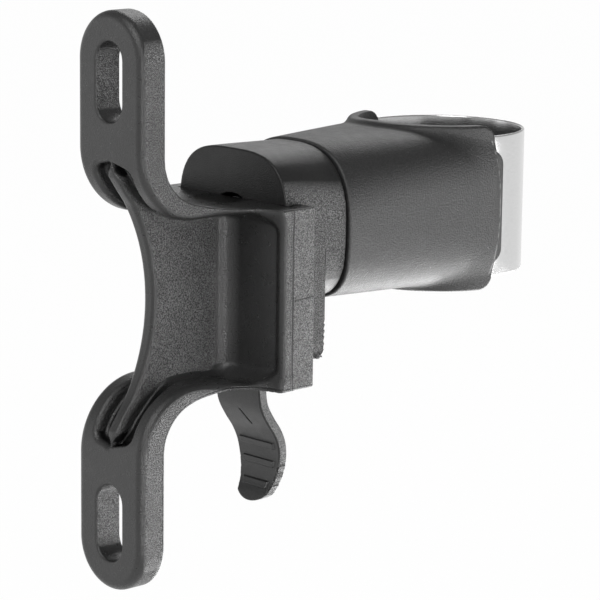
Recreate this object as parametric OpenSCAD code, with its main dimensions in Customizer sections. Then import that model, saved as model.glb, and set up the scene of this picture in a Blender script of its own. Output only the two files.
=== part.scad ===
// Bottle cage adapter with a quick release bracket and a steel band clamp.
// Millimetres. The origin is the centre of the clamped tube, whose axis is Z.
// The lugs that carry the cage face -Y, and +Z is up.

/* [Cage bolt slots] */
// Distance between the two bolt slots
slot_spacing = 64; // [58:1:74]
// Width of a slot, for an M5 bolt
slot_w = 5.5; // [5.2:0.1:6]
// Length of a slot, end to end
slot_l = 11.4; // [9:0.2:14]

/* [Lugs] */
// Width of a lug
lug_w = 14.2; // [12:0.2:17]
// Thickness of a lug
lug_t = 4.6; // [3.6:0.1:5.6]
// Rounding of the front edge of a lug
lug_round = 1.3; // [0.6:0.1:1.8]
// Radius of the front face where a lug turns back into its flange
lug_bend = 10.5; // [8:0.5:12]
// Radius of the rear face of that turn
lug_back_bend = 7; // [5.5:0.5:7.5]

/* [Web and flanges] */
// Height of a flange's inner face above the middle of the bracket
flange_z = 12; // [11:0.2:12.6]
// Depth of the hollow in the front edge of the web
spine_depth = 7.5; // [5:0.5:9.5]
// Thickness of the web
web_t = 2.6; // [2:0.1:4]
// Radius of the fillet where the web meets the rear plate
web_fillet = 3.4; // [2:0.2:4.2]
// Radius of the hollow sides of a flange, seen from above
flange_side_r = 11; // [9:0.5:13]
// Depth of the pockets beside the web, where a lug turns back
pocket_d = 1.3; // [0.6:0.1:1.8]
// Distance from the middle to the outer side of those pockets
pocket_x = 3.9; // [3:0.1:4.6]

/* [Rear plate] */
// Distance from the front of the lugs to the front of the rear plate
plate_y = 20.7; // [19:0.5:24]
// Thickness of the rear plate
plate_t = 2.9; // [2.4:0.1:4]
// Width of the rear plate
plate_w = 29.2; // [28.4:0.2:33]
// Height of the rear plate
plate_h = 26.8; // [26:0.2:29]
// Length of the side walls behind the plate
wall_l = 2.9; // [2.6:0.1:3.4]
// Width of the rim round the recess in the plate's front
rim_w = 1.7; // [1.2:0.1:2.2]
// Depth of that recess
recess_d = 0.6; // [0.3:0.1:0.8]
// Rounding of the plate's upper and lower rear edges
plate_edge = 1; // [0.4:0.1:1.4]
// Width of the fine groove down each side of the plate
side_groove = 0.3; // [0.2:0.1:0.6]
// Distance of that groove behind the plate's front
groove_in = 1.85; // [1:0.05:2.2]

/* [Clamp block] */
// Width of the block behind the bracket
block_w = 23.4; // [22:0.2:25]
// Height of the block
block_h = 23.2; // [22:0.2:25]
// Corner radius of the block
block_r = 6.6; // [5:0.2:8]
// Length of the block, from the rear plate to the sleeve
block_l = 12.4; // [11.4:0.2:16]
// Height of the block's axis above the middle of the bracket
axis_drop = 9; // [8:0.2:10]
// Depth of the groove that each lip of the bracket runs in
rail_depth = 1.5; // [1:0.1:2]
// Thickness of the rail in front of the groove
rail_t = 0.9; // [0.7:0.1:1]

/* [Tail of the rail] */
// Distance from the block's axis down to the end of the tail
tail_z = 18.9; // [17.5:0.2:20]
// Length of the tail, front to back
tail_l = 7.8; // [7.2:0.2:9]
// Length of the torn moulding edge at the end of the tail
torn_h = 1.2; // [0.6:0.1:1.6]

/* [Nose inside the sleeve] */
// Width of the nose
nose_w = 18.4; // [17.6:0.2:19]
// Height of the nose
nose_h = 18.4; // [17.6:0.2:19]
// Length of the nose
nose_l = 13.6; // [12.6:0.2:14.4]
// Wall of the nose
nose_wall = 1.4; // [1:0.1:1.8]

/* [Tube and band] */
// Diameter of the clamped tube
tube_d = 25; // [24:0.2:26]
// Distance from the tube's centre to the front of the lugs
reach = 67.6; // [66:0.5:72]
// Thickness of the rubber between the tube and the band
lining = 0.4; // [0.3:0.1:0.6]
// Thickness of the band
band_t = 0.5; // [0.4:0.1:0.7]
// Height of the band
band_h = 22; // [20:0.5:23]
// Height of the band's ends inside the nose
band_end_h = 13; // [11:0.5:14]

/* [Rubber sleeve] */
// Step of the sleeve over the block
sleeve_step = 0.7; // [0.4:0.1:1.2]
// Width of the shadow gap between the block and the sleeve
sleeve_gap = 0.4; // [0.2:0.1:0.8]
// Width of the sleeve across its arms
arm_w = 29.2; // [28.6:0.2:31]
// Height of the arms
arm_h = 25.6; // [24.4:0.2:27]
// Rubber outside the band near the arm tips
arm_wall = 0.8; // [0.6:0.1:1.2]
// How far the arm tips stop short of the tube's widest place
tip_back = 1.2; // [0.6:0.1:3]
// Rounding of the corners of the arm tips
tip_r = 2.4; // [1.5:0.1:3]

/* [Tension screw] */
// Diameter of the screw
screw_d = 5; // [4:1:5]
// Diameter of the screw's head
head_d = 8.5; // [8:0.1:9]
// Height of the head
head_h = 4.6; // [4:0.1:5]
// Width of the hexagon socket across its flats
socket_af = 4; // [3:1:4]
// Length of the shank
shank_l = 16; // [14:1:18]
// Diameter of the access hole
access_d = 10.4; // [10:0.1:11]
// Diameter of the washer
washer_d = 9.8; // [9:0.1:9.9]
// Thickness of the washer
washer_t = 1; // [0.8:0.1:1.4]
// Depth of the access hole
access_l = 6.4; // [6.4:0.2:7.4]
// Thickness of the wall that the screw pulls against
bulkhead = 2.6; // [2:0.1:3.4]

/* [Pull block] */
// Thickness of the pull block
pull_t = 6; // [5:0.5:7]
// Gap from the wall to the pull block when the band is tight
pull_gap = 3.4; // [2.5:0.1:4]
// Diameter of the band pins
pin_d = 1.8; // [1.6:0.1:2]

/* [Release lever] */
// Width of the lever
lever_w = 9.6; // [8:0.2:10]
// Thickness of the lever's blade
lever_t = 1.6; // [1.4:0.1:2.2]
// Diameter of the lever's pin
lever_pin_d = 2; // [1.6:0.1:2.4]
// Height of the blade's tip below the middle of the bracket
blade_drop = 34; // [31:0.5:36]
// How far the blade bulges backwards above its tip
blade_out = 4.5; // [3.5:0.1:5.5]
// Height below the middle of the bracket where the blade's sides start to curve in
taper_drop = 22; // [20:0.5:24]
// Radius of those curved sides
taper_r = 32.5; // [26:0.5:60]
// Radius of the blade's lower end
end_r = 5; // [5:0.5:9]
// Depth of the lever's front face behind the rear plate
lever_in = 1.5; // [1.2:0.1:1.8]
// Length of the catch that holds the bracket
catch_l = 1.1; // [0.8:0.1:1.4]
// Thickness of the lever's leaf spring
leaf_t = 0.3; // [0.2:0.1:0.4]
// Height of the grip ribs on the lever
rib_h = 0.3; // [0.2:0.05:0.6]
// Width of a rib
rib_w = 1; // [0.6:0.1:1.4]
// Distance between two ribs
rib_step = 3.2; // [2.4:0.1:3.4]
// Height of the lowest rib above the blade's tip
rib_up = 3.1; // [2.6:0.1:4]
// Number of grip ribs
rib_count = 3; // [2:1:4]

/* [Fits] */
// Radial clearance of a pin or shank that turns in its bore
run_fit = 0.05; // [0.03:0.01:0.09]
// Clearance round pieces that slide or swing past each other
slide_fit = 0.3; // [0.2:0.05:0.4]
// Clearance round pieces that are only put together
seat_fit = 0.05; // [0.02:0.01:0.1]

/* [Hidden] */
$fn = 96;
// Overlap that joins shapes and carries cuts past a face
eps = 0.01;
over = 1;

// Heights are measured from the axis of the block, which meets the tube's centre
mid_z = -axis_drop;
slot_z = slot_spacing / 2;
slot_end = slot_l / 2 - slot_w / 2;
lug_top = slot_z + slot_end;
lug_half = lug_w / 2;
bend_z = flange_z + lug_bend;
// The rear of a turn is centred this far nearer the middle than its front
back_lift = 1;
// A flange's inner face is this much higher at the plate than at the turn
flange_rise = 0.55;
// The rear face of a flange reaches its full height this many times sooner than the plate
rear_ease = 1.4;
// The pockets beside the web reach this far past its front edge
pocket_end = 1.4;
// Radius of the pockets' floors
pocket_r = lug_bend - pocket_d;
// The web's edge goes this far into the flanges and into the pockets' floors
web_in = 0.4;
// Corner radius of the recess in the plate
recess_r = 2.5;

// Depths along Y
lug_y = -reach;
plate_front = lug_y + plate_y;
block_front = plate_front + plate_t;
block_back = block_front + block_l;
sleeve_front = block_back + sleeve_gap;
nose_back = block_back + nose_l;
tail_back = block_front + tail_l;

// The hollow front edge of the web meets the plane of the lugs here
spine_half = slot_spacing * 0.3;
spine_r = (spine_half * spine_half + spine_depth * spine_depth) / (2 * spine_depth);

// Corner radius of the nose
nose_r = 2;
// The sleeve's main form is this much lower than its arms
barrel_in = 0.4;
// The wrap's wall stops this far in front of the tube's widest place
wrap_back = tip_back + 0.9;

// Tension screw and pull block
bulkhead_front = block_front + access_l;
bulkhead_back = bulkhead_front + bulkhead;
washer_front = bulkhead_front - washer_t;
pull_front = bulkhead_back + pull_gap;
cavity_w = nose_w - 2 * nose_wall;
cavity_h = nose_h - 2 * nose_wall;
pull_w = cavity_w - 2 * slide_fit;
pull_h = cavity_h - 2 * slide_fit;

// The band round the tube and its straight runs to the pins
band_in = tube_d / 2 + lining + seat_fit;
band_mid = band_in + band_t / 2;
loop_r = pin_d / 2 + run_fit + band_t / 2;
pin_y = pull_front + pull_t / 2;
pin_x = pull_w / 2 - loop_r - band_t / 2 - slide_fit;
// The run is the straight line that touches both the tube circle and the pin circle
run_far = sqrt(pin_x * pin_x + pin_y * pin_y);
run_bearing = atan2(pin_x, -pin_y);
run_turn = acos((band_mid - loop_r) / run_far);
run_angle = run_bearing + run_turn;
run_from = [band_mid * sin(run_angle), -band_mid * cos(run_angle)];
run_to = [pin_x + loop_r * sin(run_angle), pin_y - loop_r * cos(run_angle)];

// Release lever: the pivot and the points of its blade, front face first
tail_wall = 1.4;
slot_back = tail_back - tail_wall;
hub_wall = 1.3;
hub_r = lever_pin_d / 2 + hub_wall;
pivot_drop = 4.6;
pivot_y = slot_back - hub_r - slide_fit;
pivot_z = mid_z - pivot_drop;
// The lever's pin stops this far inside each side of the block
pin_in = 2;
lever_pin_l = block_w - 2 * pin_in;
lever_half = lever_w / 2;
slot_half = lever_half + slide_fit;
catch_up = 3.4;
catch_z = mid_z - plate_h / 2 + catch_up;
lever_front_y = block_front + lever_in;
lever_rear_y = lever_front_y + lever_t;
// Front face of the blade in shares of its bulge and drop, from its flat top to a point
// past its tip that only steers it
blade = [for (p = [
    [0, -0.03], [0, -0.18], [-0.04, -0.41], [0, -0.5], [0.12, -0.56], [0.41, -0.625], [0.73, -0.685],
    [0.93, -0.745], [1, -0.81], [0.97, -0.87], [0.84, -0.925], [0.64, -0.965], [0.47, -1], [0.2, -1.05]
]) [lever_front_y + blade_out * p[0], mid_z + blade_drop * p[1]]];
taper_z = mid_z - taper_drop;
// The leaf spring stays this far inside each side of the lever
leaf_in = 1.5;

// Solid with a flat outline in the YZ plane, as wide as w
module side_solid(w) {
    rotate([90, 0, 90]) translate([0, 0, -w / 2]) linear_extrude(w) children();
}

// Solid with a flat outline in the XZ plane, from y0 to y1
module front_solid(y0, y1) {
    translate([0, y1, 0]) rotate([90, 0, 0]) linear_extrude(y1 - y0) children();
}

module rounded_rect(w, h, r) {
    square([w - 2 * r, h], center = true);
    square([w, h - 2 * r], center = true);
    for (x = [-1, 1], z = [-1, 1])
        translate([x * (w / 2 - r), z * (h / 2 - r)]) circle(r);
}

// Cross section of a lug, from its front face at zero depth
module lug_section() {
    translate([-lug_half + lug_round, 0]) square([lug_w - 2 * lug_round, lug_t]);
    translate([-lug_half, lug_round]) square([lug_w, lug_t - lug_round]);
    for (x = [-1, 1])
        translate([x * (lug_half - lug_round), lug_round]) circle(lug_round, $fn = 48);
}

module half_lug_section() {
    intersection() {
        lug_section();
        square([lug_w, lug_t]);
    }
}

// Plan of a flange: as wide as a lug in front, sweeping out to the plate
module flange_plan() {
    difference() {
        translate([-plate_w / 2, lug_bend - eps])
            square([plate_w, plate_y + recess_d - lug_bend + 2 * eps]);
        for (x = [-1, 1])
            translate([x * (lug_half + flange_side_r), lug_bend]) circle(flange_side_r);
        for (x = [-1, 1])
            translate([x * (lug_half + flange_side_r + over), lug_bend - over])
                square([2 * flange_side_r + 2 * over, 2 * over], center = true);
    }
}

// Height share between 0 and 1 that eases in and out
function ease(t) = t * t * (3 - 2 * t);

// Side outline of the upper flange behind the turn of the lug, thinner towards the plate
module flange_side() {
    steps = 8;
    long = plate_y + recess_d + eps - lug_bend;
    top_front = bend_z - back_lift - lug_back_bend;
    top_back = plate_h / 2;
    polygon(concat(
        [for (i = [0:steps]) let (t = i / steps)
            [lug_bend - eps + t * long, flange_z + flange_rise * ease(t)]],
        [for (i = [steps:-1:0]) let (t = i / steps)
            [lug_bend - eps + t * long, top_front + (top_back - top_front) * ease(min(1, t * rear_ease))]]
    ));
}

// Pockets in the turn beside the web, deepest at the lug and gone at the flange
module turn_pockets() {
    end_z = spine_half + pocket_end;
    intersection() {
        side_solid(2 * pocket_x) difference() {
            translate([-over, flange_z - over]) square([lug_bend + over, end_z - flange_z + over]);
            translate([lug_bend, flange_z + pocket_r]) circle(pocket_r);
        }
        front_solid(-2 * over, lug_bend + over) rounded_rect(2 * pocket_x, 2 * end_z, pocket_d);
    }
}

// Upper lug with its turn and flange, from the middle of the bracket
module lug_and_flange() {
    translate([0, 0, lug_top]) rotate([-90, 0, 0]) rotate_extrude() half_lug_section();
    translate([0, 0, bend_z]) linear_extrude(lug_top - bend_z) lug_section();
    difference() {
        translate([0, lug_bend, bend_z]) rotate([0, 90, 0]) rotate([0, 0, -90])
            rotate_extrude(angle = 90)
                translate([lug_bend, 0]) rotate(90) lug_section();
        translate([0, lug_t + lug_back_bend, bend_z - back_lift]) rotate([0, 90, 0])
            cylinder(r = lug_back_bend, h = lug_w + 2 * over, center = true);
    }
    intersection() {
        linear_extrude(bend_z) flange_plan();
        side_solid(plate_w) flange_side();
    }
}

// Fillets on both sides of the web where it meets the plate
module web_fillets() {
    floor_y = plate_y + recess_d;
    for (x = [-1, 1])
        difference() {
            translate([x * (web_t / 2 + web_fillet / 2 - eps), floor_y - web_fillet / 2 + eps, 0])
                cube([web_fillet, web_fillet, 2 * flange_z + over], center = true);
            translate([x * (web_t / 2 + web_fillet), floor_y - web_fillet, 0])
                cylinder(r = web_fillet, h = 2 * flange_z + 2 * over, center = true);
        }
}

// Web with its hollow front edge
module web() {
    difference() {
        side_solid(web_t) difference() {
            translate([0, -bend_z]) square([plate_y + recess_d + eps, 2 * bend_z]);
            for (z = [-1, 1]) {
                translate([lug_bend, z * (flange_z + pocket_r)]) circle(pocket_r - web_in);
                translate([lug_bend, z * (flange_z + web_in + lug_bend) - lug_bend])
                    square([plate_y, 2 * lug_bend]);
            }
        }
        translate([0, spine_depth - spine_r, 0]) rotate([0, 90, 0])
            cylinder(r = spine_r, h = web_t + 2 * over, center = true, $fn = 180);
    }
}

// Rear plate with its side walls, open at the back for the rail
module rear_plate() {
    full = plate_t + wall_l;
    difference() {
        translate([0, plate_y, 0]) side_solid(plate_w) difference() {
            translate([0, -plate_h / 2]) square([full, plate_h]);
            for (z = [-1, 1])
                translate([full, z * plate_h / 2]) rotate(45)
                    square(plate_edge * sqrt(2), center = true);
        }
        translate([0, plate_y + plate_t, 0]) pocket_cut();
        front_solid(plate_y - over, plate_y + recess_d)
            rounded_rect(plate_w - 2 * rim_w, 2 * flange_z - side_groove, recess_r);
        for (x = [-1, 1])
            translate([x * plate_w / 2, plate_y + groove_in, 0])
                cube([2 * side_groove, side_groove, plate_h + over], center = true);
        // Notch for the catch of the lever
        translate([0, plate_y + plate_t, catch_z - mid_z])
            cube([lever_w + 2 * slide_fit, 2 * (catch_l + slide_fit), 2 * catch_l + 2 * slide_fit],
                center = true);
    }
}

// Space behind the plate, with the lips left standing in the rail's grooves
module pocket_cut() {
    inner = block_w + 2 * slide_fit;
    lip_y = rail_t + slide_fit;
    translate([-inner / 2, 0, -plate_h]) cube([inner, lip_y, 2 * plate_h]);
    inside = inner - 2 * rail_depth;
    translate([-inside / 2, 0, -plate_h]) cube([inside, wall_l + over, 2 * plate_h]);
}

// Two bolt slots through the lugs
module slots() {
    for (z = [-1, 1]) {
        for (e = [-1, 1])
            translate([0, -over, z * slot_z + e * slot_end]) rotate([-90, 0, 0])
                cylinder(d = slot_w, h = lug_t + 2 * over);
        translate([-slot_w / 2, -over, z * slot_z - slot_end])
            cube([slot_w, lug_t + 2 * over, 2 * slot_end]);
    }
}

module cage_bracket() {
    color([0.16, 0.16, 0.17]) translate([0, lug_y, mid_z]) difference() {
        union() {
            for (z = [0, 1]) mirror([0, 0, z]) difference() {
                lug_and_flange();
                turn_pockets();
            }
            web();
            web_fillets();
            rear_plate();
        }
        slots();
    }
}

// Tail that carries the rail down behind the bracket, with its torn lower edge
module tail() {
    top = -block_h / 2 + block_r;
    teeth = 12;
    step = block_w / teeth;
    tooth_turn = 137;
    front_solid(block_front, tail_back) union() {
        translate([-block_w / 2, -tail_z + torn_h]) square([block_w, tail_z + top - torn_h]);
        // The moulding flash is a row of uneven teeth
        for (i = [0:teeth - 1])
            translate([-block_w / 2 + i * step, -tail_z + torn_h * (0.5 + 0.5 * sin(i * tooth_turn))])
                square([step + eps, torn_h]);
    }
}

// Grooves that the bracket's lips run in, closed above the bracket
module rail_grooves() {
    top = mid_z + plate_h / 2 + slide_fit;
    groove_w = wall_l - rail_t + slide_fit;
    for (x = [-1, 1])
        translate([x * block_w / 2, block_front + rail_t + groove_w / 2, (top - tail_z - over) / 2])
            cube([2 * rail_depth, groove_w, top + tail_z + over], center = true);
}

// Slot that the lever swings in, and the bore of its pin
module lever_slot() {
    low = -tail_z - over;
    high = pivot_z + hub_r + slide_fit;
    translate([-slot_half, block_front - over, low])
        cube([2 * slot_half, tail_l - tail_wall + over, high - low]);
    translate([0, pivot_y, pivot_z]) rotate([0, 90, 0])
        cylinder(d = lever_pin_d + 2 * seat_fit, h = lever_pin_l, center = true);
}

// Access hole, bulkhead bore and the space that the pull block slides in
module screw_space() {
    translate([0, block_front - over, 0]) rotate([-90, 0, 0])
        cylinder(d = access_d, h = bulkhead_front - block_front + over);
    translate([0, bulkhead_front - over, 0]) rotate([-90, 0, 0])
        cylinder(d = screw_d + 2 * run_fit, h = bulkhead + 2 * over);
    translate([-cavity_w / 2, bulkhead_back, -cavity_h / 2])
        cube([cavity_w, nose_back - bulkhead_back + over, cavity_h]);
}

module clamp_body() {
    color([0.13, 0.13, 0.14]) difference() {
        union() {
            front_solid(block_front, block_back) rounded_rect(block_w, block_h, block_r);
            front_solid(block_back - eps, nose_back) rounded_rect(nose_w, nose_h, nose_r);
            tail();
        }
        rail_grooves();
        lever_slot();
        screw_space();
        band_solid(band_t + 2 * slide_fit, slide_fit, false);
    }
}

// Plan of the band's line, t thick: the loop, the two runs and the turns round the pins
module band_plan(t, with_turns = true) {
    join = 0.05;
    difference() {
        circle(band_mid + t / 2, $fn = 180);
        circle(band_mid - t / 2, $fn = 180);
        translate([0, -join]) polygon([
            [0, 0], 3 * [run_from[0], run_from[1]], [0, -4 * band_mid], 3 * [-run_from[0], run_from[1]]
        ]);
    }
    run_l = norm(run_from - run_to);
    for (x = [0, 1]) mirror([x, 0]) {
        translate(run_to) rotate(run_angle - 90) translate([-t / 2, 0]) square([t, run_l]);
        if (with_turns)
            translate([pin_x, pin_y]) difference() {
                circle(loop_r + t / 2);
                circle(loop_r - t / 2);
                // The turn stays open at the back
                rotate(run_angle - 90) translate([-2 * loop_r, join]) square([4 * loop_r, 2 * loop_r]);
            }
    }
}

// Side outline of the band, which narrows to its ends, grown by g
module band_side(g) {
    wide_y = -2 * tip_back - band_t;
    narrow_y = nose_back + over;
    front = pin_y - 2 * loop_r;
    back = band_mid + over;
    h = band_h / 2 + g;
    e = band_end_h / 2 + g;
    polygon([
        [front, -e], [narrow_y, -e], [wide_y, -h], [back, -h],
        [back, h], [wide_y, h], [narrow_y, e], [front, e]
    ]);
}

module band_solid(t, g, with_turns = true) {
    intersection() {
        translate([0, 0, -band_h]) linear_extrude(2 * band_h) band_plan(t, with_turns);
        side_solid(4 * band_mid) band_side(g);
    }
}

module steel_band() {
    color([0.8, 0.8, 0.79]) band_solid(band_t, 0);
}

// Main form of the sleeve, from the block's outline out to the width of the arms
module sleeve_barrel() {
    thin = 0.1;
    hull() {
        front_solid(sleeve_front, sleeve_front + thin)
            offset(delta = sleeve_step, $fn = 32) rounded_rect(block_w, block_h, block_r, $fn = 32);
        front_solid(-tip_back - thin, -tip_back)
            rounded_rect(arm_w, arm_h - barrel_in, block_r + barrel_in, $fn = 32);
    }
}

// Wall that wraps the band, flatter than the main form near the tips
module band_wrap() {
    r = band_in + band_t + arm_wall;
    intersection() {
        translate([0, 0, -arm_h / 2]) cylinder(r = r, h = arm_h, $fn = 180);
        side_solid(2 * arm_w) difference() {
            translate([-2 * r, -arm_h / 2]) square([2 * r - wrap_back, arm_h]);
            for (z = [-1, 1])
                translate([-wrap_back - tip_r, z * (arm_h / 2 - tip_r)]) difference() {
                    translate([0, z > 0 ? 0 : -2 * tip_r]) square(2 * tip_r);
                    circle(tip_r);
                }
        }
    }
}

module rubber_sleeve() {
    color([0.2, 0.2, 0.2]) difference() {
        union() {
            sleeve_barrel();
            band_wrap();
        }
        cylinder(d = tube_d, h = 2 * arm_h, center = true, $fn = 180);
        front_solid(sleeve_front - over, nose_back + seat_fit)
            rounded_rect(nose_w + 2 * seat_fit, nose_h + 2 * seat_fit, nose_r);
        band_solid(band_t + 2 * seat_fit, seat_fit, false);
    }
}

module tension_screw() {
    color([0.6, 0.6, 0.62]) difference() {
        union() {
            translate([0, washer_front - head_h, 0]) rotate([-90, 0, 0])
                cylinder(d = head_d, h = head_h);
            translate([0, washer_front - eps, 0]) rotate([-90, 0, 0])
                cylinder(d = screw_d, h = shank_l);
        }
        translate([0, washer_front - head_h - over, 0]) rotate([-90, 0, 0])
            cylinder(d = socket_af / cos(30), h = head_h / 2 + over, $fn = 6);
    }
}

module screw_washer() {
    color([0.7, 0.7, 0.72]) translate([0, washer_front, 0]) rotate([-90, 0, 0]) difference() {
        cylinder(d = washer_d, h = washer_t);
        translate([0, 0, -over]) cylinder(d = screw_d + 2 * run_fit, h = washer_t + 2 * over);
    }
}

// Block that the screw draws forward, with a fork at each side for a band pin
module pull_block() {
    fork_h = band_end_h + 2 * slide_fit;
    fork_d = 2 * loop_r + band_t + 2 * slide_fit;
    color([0.55, 0.55, 0.57]) difference() {
        translate([-pull_w / 2, pull_front, -pull_h / 2]) cube([pull_w, pull_t, pull_h]);
        translate([0, pull_front - over, 0]) rotate([-90, 0, 0])
            cylinder(d = screw_d + 2 * run_fit, h = pull_t + 2 * over);
        for (x = [-1, 1]) {
            translate([x * pin_x, pin_y, 0]) {
                cylinder(d = fork_d, h = fork_h, center = true);
                translate([x * fork_d / 2, 0, 0]) cube([fork_d, fork_d, fork_h], center = true);
                translate([0, fork_d, 0]) cube([fork_d, 2 * fork_d, fork_h], center = true);
                cylinder(d = pin_d + 2 * seat_fit, h = pull_h + over, center = true);
            }
        }
    }
}

module band_pin(x) {
    color([0.7, 0.7, 0.72]) translate([x * pin_x, pin_y, 0])
        cylinder(d = pin_d, h = pull_h, center = true);
}

module band_pin_left() {
    band_pin(-1);
}

module band_pin_right() {
    band_pin(1);
}

// Point at share t on the smooth curve through points a, b, c and d, between b and c
function curve_point(a, b, c, d, t) =
    0.5 * (2 * b + t * (c - a) + t * t * (2 * a - 5 * b + 4 * c - d) + t * t * t * (3 * b - a - 3 * c + d));

// Smooth curve through a list of points, whose first and last only steer it
function smooth_line(p, steps) = concat(
    [for (i = [1:len(p) - 3], k = [0:steps - 1])
        curve_point(p[i - 1], p[i], p[i + 1], p[i + 2], k / steps)],
    [p[len(p) - 2]]
);

// The same line moved sideways by d, to the right of its direction
function beside(line, d) = [for (i = [0:len(line) - 1])
    let (a = line[max(i - 1, 0)], b = line[min(i + 1, len(line) - 1)], n = norm(b - a))
    line[i] + d * [a[1] - b[1], b[0] - a[0]] / n];

// Side outline of the lever's blade, from its front face
module blade_side() {
    front = smooth_line(blade, 6);
    rear = beside(front, lever_t);
    polygon(concat(front, [for (i = [len(rear) - 1:-1:0]) rear[i]]));
}

// Front outline of the lever, whose sides curve in to a blunt, rounded end
module lever_front() {
    end_z = mid_z - blade_drop + end_r;
    translate([-lever_half, taper_z]) square([lever_w, -taper_z]);
    side_x = taper_r - lever_half;
    intersection() {
        translate([side_x, taper_z + eps]) circle(taper_r, $fn = 360);
        translate([-side_x, taper_z + eps]) circle(taper_r, $fn = 360);
        union() {
            translate([0, end_z]) circle(end_r);
            translate([-lever_half, end_z]) square([lever_w, taper_z + 2 * eps - end_z]);
        }
    }
}

// Half the width of the blade at a height z
function blade_half(z) =
    lever_half - taper_r + sqrt(taper_r * taper_r - pow(max(0, taper_z - z), 2));

// Grip ribs across the front of the blade, counted up from near its tip
module grip_ribs() {
    line = smooth_line(blade, 6);
    tip_z = line[len(line) - 1][1];
    for (i = [0:rib_count - 1]) {
        z = tip_z + rib_up + i * rib_step;
        // Point of the blade's front face nearest that height
        near = [for (k = [0:len(line) - 2]) if (line[k][1] >= z && line[k + 1][1] < z) k][0];
        a = line[near];
        b = line[near + 1];
        at = a + (b - a) * (a[1] - z) / (a[1] - b[1]);
        translate([0, at[0], at[1]]) rotate([atan2(b[1] - a[1], b[0] - a[0]), 0, 0])
            cube([2 * (blade_half(z) - rib_w), rib_w, 2 * rib_h], center = true);
    }
}

module release_lever() {
    color([0.15, 0.15, 0.16]) difference() {
        intersection() {
            union() {
                side_solid(lever_w) blade_side();
                grip_ribs();
                // Hub round the pin, with a shoulder down to the blade
                side_solid(lever_w) translate([pivot_y, pivot_z]) circle(hub_r);
                side_solid(lever_w) polygon([
                    [lever_front_y + lever_t / 2, pivot_z], [pivot_y, pivot_z],
                    [pivot_y + hub_r * cos(40), pivot_z - hub_r * sin(40)],
                    [lever_rear_y, pivot_z - 1.6 * hub_r],
                    [lever_front_y + lever_t / 2, pivot_z - 1.6 * hub_r]
                ]);
                // Catch, with a ramp below so that the bracket pushes past it when it goes on
                side_solid(lever_w) polygon([
                    [lever_front_y + lever_t / 2, catch_z + catch_l],
                    [block_front - catch_l, catch_z + catch_l],
                    [block_front - catch_l, catch_z + catch_l / 2],
                    [lever_front_y + lever_t / 2, catch_z - catch_l]
                ]);
            }
            front_solid(block_front - catch_l - over, lever_rear_y + blade_out + over) lever_front();
        }
        translate([0, pivot_y, pivot_z]) rotate([0, 90, 0])
            cylinder(d = lever_pin_d + 2 * run_fit, h = lever_w + over, center = true);
    }
}

module lever_pin() {
    color([0.7, 0.7, 0.72]) translate([0, pivot_y, pivot_z]) rotate([0, 90, 0])
        cylinder(d = lever_pin_d, h = lever_pin_l, center = true);
}

// Hairpin leaf spring, bent from a strip, between the slot's rear wall and the lever
module lever_spring() {
    gap = leaf_t / 2 + seat_fit;
    fold_z = pivot_z - hub_r - 2 * leaf_t;
    foot_z = -tail_z + 2 * leaf_t;
    line = [
        [slot_back - gap, foot_z], [slot_back - gap, fold_z],
        [slot_back - gap - 2 * leaf_t, fold_z + leaf_t / 2], [lever_rear_y + gap, foot_z]
    ];
    front = beside(line, leaf_t / 2);
    rear = beside(line, -leaf_t / 2);
    color([0.75, 0.75, 0.76]) side_solid(lever_w - 2 * leaf_in)
        polygon(concat(front, [for (i = [len(rear) - 1:-1:0]) rear[i]]));
}

cage_bracket();
clamp_body();
rubber_sleeve();
steel_band();
tension_screw();
screw_washer();
pull_block();
band_pin_left();
band_pin_right();
release_lever();
lever_pin();
lever_spring();
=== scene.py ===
import math

import bpy
import numpy as np
from mathutils import Matrix, Vector


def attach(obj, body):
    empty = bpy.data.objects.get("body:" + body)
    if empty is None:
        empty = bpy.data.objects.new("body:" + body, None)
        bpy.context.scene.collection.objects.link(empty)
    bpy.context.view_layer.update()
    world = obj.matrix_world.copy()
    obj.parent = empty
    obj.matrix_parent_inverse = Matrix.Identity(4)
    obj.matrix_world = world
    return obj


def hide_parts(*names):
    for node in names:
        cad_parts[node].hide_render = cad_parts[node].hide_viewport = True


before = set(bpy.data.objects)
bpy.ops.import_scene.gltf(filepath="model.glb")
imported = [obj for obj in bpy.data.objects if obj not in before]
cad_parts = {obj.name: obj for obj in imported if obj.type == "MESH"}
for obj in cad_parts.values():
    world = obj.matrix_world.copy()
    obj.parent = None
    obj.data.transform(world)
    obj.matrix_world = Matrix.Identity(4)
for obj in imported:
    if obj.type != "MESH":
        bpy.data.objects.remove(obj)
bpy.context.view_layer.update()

# Shapes are in millimetres in the CAD's frame: +Z runs up the tube and the lugs face -Y.
# Meshes, finishes and lamps are in metres.
MM = 0.001

# Driving sizes, the same as in the CAD source
REACH = 67.6          # from the lugs' front to the tube's axis
AXIS_DROP = 9.0       # from the clamp's axis down to the bracket's middle
PLATE_Y = 20.7        # from the lugs' front to the plate's
PLATE_T = 2.9
PLATE_W = 29.2
PLATE_H = 26.8
WALL_L = 2.9          # length of the side walls behind the plate
BLOCK_W, BLOCK_H, BLOCK_L = 23.4, 23.2, 12.4
TAIL_Z = 18.9         # from the clamp's axis down to the tail's end
TAIL_L = 7.8          # depth of the tail along Y
TUBE_R = 12.5
BAND_MID = 13.2       # radius of the middle of the band's thickness
BAND_T = 0.5
BAND_HALF = 11.0      # half the band's width round the tube
BAND_END = 6.5        # half its width at the turned ends
BLOCK_FRONT = -REACH + PLATE_Y + PLATE_T
BLOCK_BACK = BLOCK_FRONT + BLOCK_L
SLEEVE_FRONT = BLOCK_BACK + 0.2

# The rail of the block and the walls that hold it
RAIL_GAP = 0.3
RAIL_HEAD = 0.9       # thickness of the rail in front of its grooves
GROOVE_IN = 1.5       # depth of the grooves from each side
WALL_EXTRA = 0.3      # the walls show this much longer than in the CAD

# Kept at a mesh's vertices where a line on the surface has no meaning
FAR = 9.0

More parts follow.
